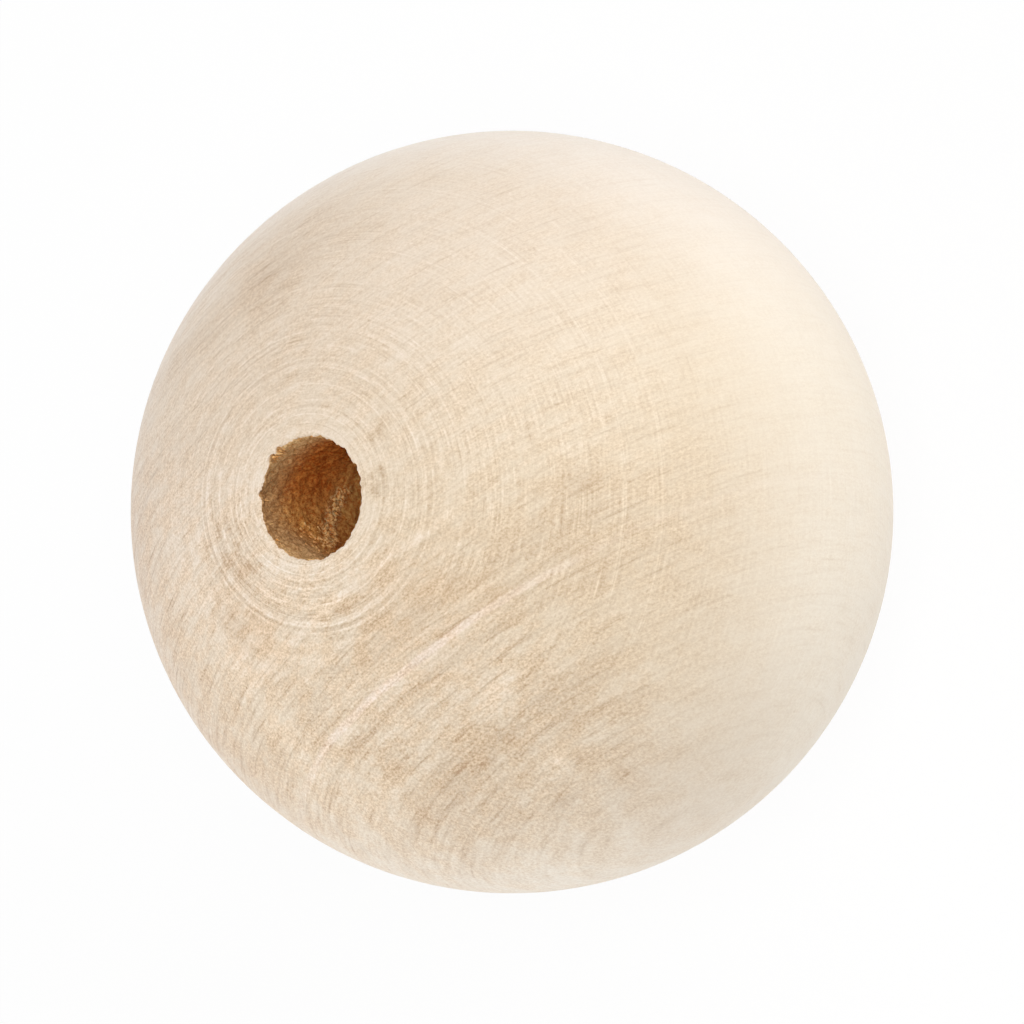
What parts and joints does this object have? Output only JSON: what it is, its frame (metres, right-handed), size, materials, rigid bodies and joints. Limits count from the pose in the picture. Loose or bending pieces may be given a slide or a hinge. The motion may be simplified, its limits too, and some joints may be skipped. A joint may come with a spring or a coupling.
{
  "type": "wooden bead",
  "caption": "Turned ball of pale hardwood with a round hole drilled right through it along the grain, for threading on a cord, lace or dowel.",
  "frame": {"origin": "middle of the ball, on the axis of the hole, halfway between its two mouths", "axes": "+Z along the hole and the grain, towards the mouth with the torn rim; +X across the growth rings; the bead stands on the rim of its lower mouth"},
  "size_m": [0.05, 0.05, 0.0492],
  "materials": {
    "wood": "bare turned and sanded pale hardwood"
  },
  "bodies": {
    "root": {"bead": "wood"}
  },
  "joints": []
}
